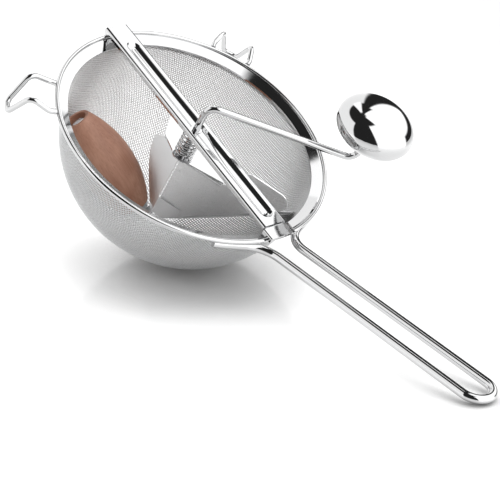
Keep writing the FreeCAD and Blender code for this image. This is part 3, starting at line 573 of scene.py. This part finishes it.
# %% [markdown]
# The bowl is woven in four quarters, to keep each light. A modifier on an empty object runs the
# tree, and its result is kept as a plain mesh, in the mill's place. All four ride on the mill's
# frame and stand for the solid bowl.

# %% Weave the bowl
QUARTERS = {
    "mesh_weave_handle_back": (1.0, 1.0), "mesh_weave_hook_back": (-1.0, 1.0),
    "mesh_weave_hook_front": (-1.0, -1.0), "mesh_weave_handle_front": (1.0, -1.0)}


def plain_mesh(name, tree, values, place):
    maker = bpy.data.objects.new(name + "_maker", bpy.data.meshes.new(name + "_maker"))
    bpy.context.scene.collection.objects.link(maker)
    modifier = maker.modifiers.new("nodes", "NODES")
    modifier.node_group = tree
    for socket in tree.interface.items_tree:
        if socket.in_out == "INPUT":
            modifier[socket.identifier] = values[socket.name]
    graph = bpy.context.evaluated_depsgraph_get()
    mesh = bpy.data.meshes.new_from_object(maker.evaluated_get(graph), depsgraph=graph)
    maker.modifiers.remove(modifier)
    bpy.data.objects.remove(maker)
    mesh.name = name
    mesh.transform(place)
    piece = bpy.data.objects.new(name, mesh)
    bpy.context.scene.collection.objects.link(piece)
    return piece


ball_place = Matrix.Translation(ball_centre) @ mill_turn.to_4x4()
for name, (side_x, side_y) in QUARTERS.items():
    quarter = plain_mesh(name, weave, {
        "Crossings": crossings, "Pitch": WEAVE_PITCH, "Ball radius": BALL_RADIUS,
        "Projection height": PROJECT_FROM, "Wire radius": WIRE_RADIUS, "Wire swing": WIRE_SWING,
        "Wire sides": WIRE_SIDES, "Edge height": EDGE_HEIGHT, "Side X": side_x, "Side Y": side_y,
        "Finish": mesh_wire}, ball_place)
    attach(quarter, "frame")
    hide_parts("mesh_bowl")
    quarter.data.calc_loop_triangles()
    print(name, len(quarter.data.loop_triangles), "triangles")

# %% [markdown]
# The mill stands on a pale, slightly glossy sheet, which shows a faint reflection of the bowl. To
# the camera and to the metal the sheet is lifted to white. The lift fades out where the mill
# stands close above the sheet, so the dark patch there is partly the real contact shadow and partly
# painted shadow. An ambient occlusion node measures how close the mill is. It looks up and to the
# back, in a fixed direction, so the painted shadow reaches out from under the bowl at the front, as
# under light from the back.

# %% Floor
FLOOR_REACH = 3.0
FLOOR_COLOUR = (0.62, 0.62, 0.62)
FLOOR_ROUGHNESS = 0.12
FLOOR_IOR = 1.6
floor_mesh = bpy.data.meshes.new("floor")
corners = [(x, y, 0.0) for x, y in ((-1, -1), (1, -1), (1, 1), (-1, 1))]
floor_mesh.from_pydata([Vector(c) * FLOOR_REACH for c in corners], [], [(0, 1, 2, 3)])
floor = bpy.data.objects.new("floor", floor_mesh)
bpy.context.scene.collection.objects.link(floor)
acrylic, tree, shader = new_finish("pale_acrylic", 0.0, FLOOR_COLOUR)
shader.inputs["Roughness"].default_value = FLOOR_ROUGHNESS
shader.inputs["IOR"].default_value = FLOOR_IOR
floor_mesh.materials.append(acrylic)
print("floor made")

# %% Lift the floor to white
FLOOR_LIFT = 0.60
WHITE = (1.0, 1.0, 1.0)
TOWARD_MILL = Vector((-0.40, 0.43, 0.81))
CONTACT_REACH = 65.0 * MM
CONTACT_DARK = 0.38
CONTACT_CLEAR = 0.82
path = add_node(tree, "ShaderNodeLightPath").outputs
seen = add_math(tree, "ADD", path["Is Camera Ray"], path["Is Glossy Ray"], clamp=True)
seen = add_math(tree, "ADD", seen, path["Is Transmission Ray"], clamp=True)
# Painted shadow: the white lift fades out where this node finds the mill close, looking along
# TOWARD_MILL.
contact = add_node(tree, "ShaderNodeAmbientOcclusion", Distance=CONTACT_REACH)
feed(tree, add_vector_math(tree, "NORMALIZE", TOWARD_MILL), contact.inputs["Normal"])
clear = map_range(tree, contact.outputs["AO"], CONTACT_DARK, CONTACT_CLEAR, 0.0, 1.0)
lift_with_painted_shadow = add_math(tree, "MULTIPLY", add_math(tree, "MULTIPLY", seen, FLOOR_LIFT), clear)
shader.inputs["Emission Color"].default_value = opaque(WHITE)
feed(tree, lift_with_painted_shadow, shader.inputs["Emission Strength"])
print("floor lifted by", FLOOR_LIFT)

# %% [markdown]
# Polished metal needs something to mirror. The studio has a big soft window of light to the left
# and one to the right of the camera, another high on the right and a narrow one high behind the
# mill. The rest of the room is dark: on the camera's side, overhead, between the windows and in a
# gap cut low out of the right one. The dark parts draw the black lines along the wires and the dark
# arcs on the knob. The studio is the world: each window is a soft-edged patch of directions, given
# in degrees by its compass angle and its height above the horizon.

# %% Windows of the studio
RIGHT = {"compass": 41.0, "half_width": 65.0, "lowest": -30.0, "highest": 64.0}
HIGH_RIGHT = {"compass": 54.0, "half_width": 42.0, "lowest": 50.0, "highest": 84.0}
LEFT = {"compass": 196.0, "half_width": 68.0, "lowest": -30.0, "highest": 56.0}
HIGH_BACK = {"compass": 147.0, "half_width": 13.0, "lowest": 50.0, "highest": 82.0}
LOW_GAP = {"compass": 94.0, "half_width": 34.0, "lowest": -30.0, "highest": 13.0}
WINDOW_SHARES = ((RIGHT, 1.0), (HIGH_RIGHT, 0.95), (LEFT, 0.72), (HIGH_BACK, 0.90))
WINDOW_SOFTNESS = 2.5
GAP_SOFTNESS = 3.0
world = bpy.data.worlds.new("studio")
bpy.context.scene.world = world
world.use_nodes = True
studio = world.node_tree
direction = add_node(studio, "ShaderNodeSeparateXYZ")
feed(studio, add_node(studio, "ShaderNodeTexCoord").outputs["Generated"], direction.inputs[0])
print("the studio has", len(WINDOW_SHARES), "windows")


# %% Shape of a window
def light_math(operation, first, second=0.0):
    return add_math(studio, operation, first, second)


elevation = light_math("ARCSINE", direction.outputs["Z"])


def turned_away(compass):
    """How far a direction is from a compass angle, in radians, either way."""
    angle = math.radians(compass)
    x, y = direction.outputs["X"], direction.outputs["Y"]
    ahead = light_math("ADD", light_math("MULTIPLY", x, math.cos(angle)),
                       light_math("MULTIPLY", y, math.sin(angle)))
    aside = light_math("SUBTRACT", light_math("MULTIPLY", y, math.cos(angle)),
                       light_math("MULTIPLY", x, math.sin(angle)))
    return light_math("ABSOLUTE", light_math("ARCTAN2", aside, ahead))


def soft_edge(value, edge, softness, before, after):
    start = math.radians(edge - softness)
    end = math.radians(edge + softness)
    return map_range(studio, value, start, end, before, after, "SMOOTHSTEP")


def window(compass, half_width, lowest, highest, softness):
    across = soft_edge(turned_away(compass), half_width, softness, 1.0, 0.0)
    above = soft_edge(elevation, lowest, softness, 0.0, 1.0)
    below = soft_edge(elevation, highest, softness, 1.0, 0.0)
    return light_math("MULTIPLY", across, light_math("MULTIPLY", above, below))


# %% Studio light
WINDOW_LIGHT = 1.75
ROOM_LIGHT = 0.025
BACKDROP_LIGHT = 1.0
windows = 0.0
for place, share in WINDOW_SHARES:
    lit = light_math("MULTIPLY", window(**place, softness=WINDOW_SOFTNESS), share)
    windows = light_math("MAXIMUM", windows, lit)
outside_gap = light_math("SUBTRACT", 1.0, window(**LOW_GAP, softness=GAP_SOFTNESS))
windows = light_math("MULTIPLY", windows, outside_gap)
light = light_math("ADD", light_math("MULTIPLY", windows, WINDOW_LIGHT), ROOM_LIGHT)
seen_light = add_node(studio, "ShaderNodeMix", {"data_type": "FLOAT"}, B=BACKDROP_LIGHT)
camera_ray = add_node(studio, "ShaderNodeLightPath").outputs["Is Camera Ray"]
feed(studio, camera_ray, seen_light.inputs["Factor"])
feed(studio, light, seen_light.inputs["A"])
background = studio.nodes["Background"]
background.inputs["Color"].default_value = opaque(WHITE)
feed(studio, seen_light.outputs["Result"], background.inputs["Strength"])
print("studio made")

# %% [markdown]
# The camera stands where the picture was taken from: in front of the mill and to its right, looking
# down on it, about a metre away, through a long lens. It is rolled a little, because the mill in the
# picture leans to its knob's side and the model stands straight.

# %% Camera
EYE = Vector((457.13, -668.96, 634.12)) * MM
EYE_RIGHT = Vector((0.57481, 0.71480, 0.39832))
EYE_UP = Vector((-0.73136, 0.23044, 0.64188))
LENS = 108.0
SENSOR_WIDTH = 36.0
FARTHEST = 20.0
right = mill_turn @ EYE_RIGHT
up = mill_turn @ EYE_UP
camera_data = bpy.data.cameras.new("camera")
camera_data.lens = LENS
camera_data.sensor_width = SENSOR_WIDTH
camera_data.clip_end = FARTHEST
camera = bpy.data.objects.new("camera", camera_data)
bpy.context.scene.collection.objects.link(camera)
stand = Matrix((right, up, right.cross(up))).transposed().to_4x4()
camera.matrix_world = Matrix.Translation(mill_frame @ EYE) @ stand
bpy.context.scene.camera = camera
bpy.context.scene.view_settings.view_transform = "Standard"
print("camera at", [round(v, 3) for v in camera.location])
